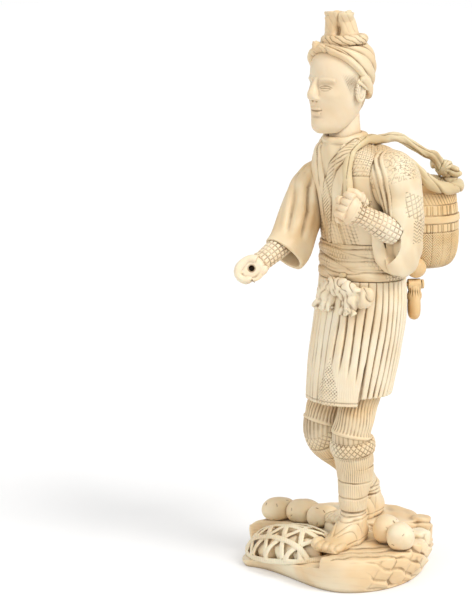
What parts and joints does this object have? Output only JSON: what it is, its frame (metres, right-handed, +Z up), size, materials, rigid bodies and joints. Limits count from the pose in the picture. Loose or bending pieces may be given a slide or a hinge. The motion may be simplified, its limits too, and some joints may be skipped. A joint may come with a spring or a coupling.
{
  "type": "okimono carving",
  "caption": "Carved ivory-coloured figure of a walking pedlar with a woven pannier, standing on a rustic base with tubers; one fist is bored for a staff.",
  "frame": {"origin": "on the underside of the base, below the middle of the figure's body", "axes": "+Z up, the figure faces -Y, the figure's left side is +X"},
  "size_m": [0.0824, 0.1048, 0.242],
  "materials": {
    "ivory_base": null,
    "ivory_dowels": null,
    "ivory_figure": null,
    "ivory_headcloth": null,
    "ivory_net": null,
    "ivory_pannier": null,
    "ivory_pouch": null,
    "ivory_skin": null,
    "ivory_skirt": null,
    "ivory_sling": null,
    "ivory_tubers": null
  },
  "bodies": {
    "carving": {"back_tuber_1": "ivory_tubers", "back_tuber_2": "ivory_tubers", "back_tuber_3": "ivory_tubers", "base_block": "ivory_base", "bundle_net": "ivory_net", "bundle_tubers": "ivory_tubers", "foot_pegs": "ivory_dowels", "head": "ivory_skin", "headcloth": "ivory_headcloth", "headcloth_knot": "ivory_headcloth", "headcloth_peg": "ivory_dowels", "hip_dowels": "ivory_dowels", "knot_peg": "ivory_dowels", "left_hand": "ivory_skin", "left_leg": "ivory_figure", "left_sleeve": "ivory_figure", "neck_dowel": "ivory_dowels", "pannier": "ivory_pannier", "pannier_pegs": "ivory_dowels", "pouch_pin": "ivory_pouch", "right_hand": "ivory_skin", "right_leg": "ivory_figure", "right_sleeve": "ivory_figure", "sash": "ivory_figure", "sash_knot": "ivory_figure", "shoulder_dowels": "ivory_dowels", "side_tuber_1": "ivory_tubers", "side_tuber_2": "ivory_tubers", "skirt": "ivory_skirt", "sling_knot": "ivory_sling", "sling_pegs": "ivory_dowels", "sling_ring": "ivory_sling", "sling_strap": "ivory_sling", "toggle": "ivory_pouch", "toggle_peg": "ivory_dowels", "torso": "ivory_figure", "tuber_pegs": "ivory_dowels", "waist_dowel": "ivory_dowels", "wrist_dowels": "ivory_dowels"},
    "pouch": {"pouch": "ivory_pouch"}
  },
  "joints": [
    {"name": "pouch_swing", "type": "hinge", "parent": "carving", "child": "pouch", "pos_m": [0.01626, 0.01657, 0.1255], "axis": [0.6355, 0.7721, 0], "range_deg": [-15, 15]}
  ]
}
